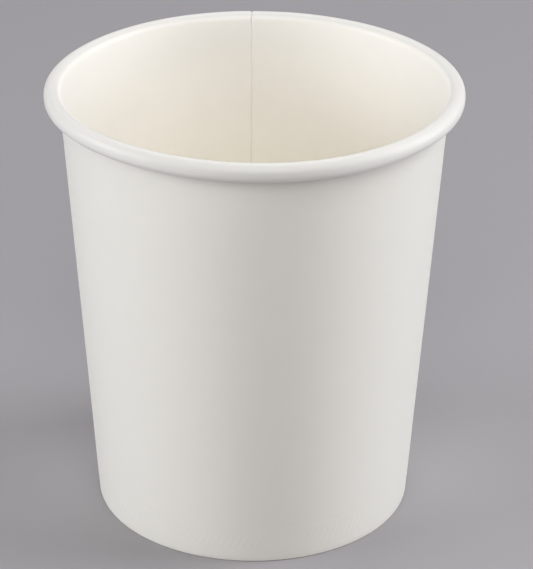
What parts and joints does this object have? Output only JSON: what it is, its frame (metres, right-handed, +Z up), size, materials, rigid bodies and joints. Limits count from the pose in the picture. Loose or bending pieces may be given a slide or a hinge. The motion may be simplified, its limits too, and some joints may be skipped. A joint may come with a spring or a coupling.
{
  "type": "soup tub",
  "caption": "Open round paperboard soup tub: tapered side wall with a lap seam, rolled rim and folded hem that holds a recessed base disc.",
  "frame": {"origin": "centre of the foot ring, on the plane that the tub stands on", "axes": "+Z up along the tub's axis, towards the open mouth; +Y towards the lap seam"},
  "size_m": [0.117, 0.1172, 0.128],
  "materials": {
    "wall_board": "white board with a thin satin coating",
    "base_board": "white board with a thin satin coating"
  },
  "bodies": {
    "root": {"side_wall": "wall_board", "base_disc": "base_board"}
  },
  "joints": []
}
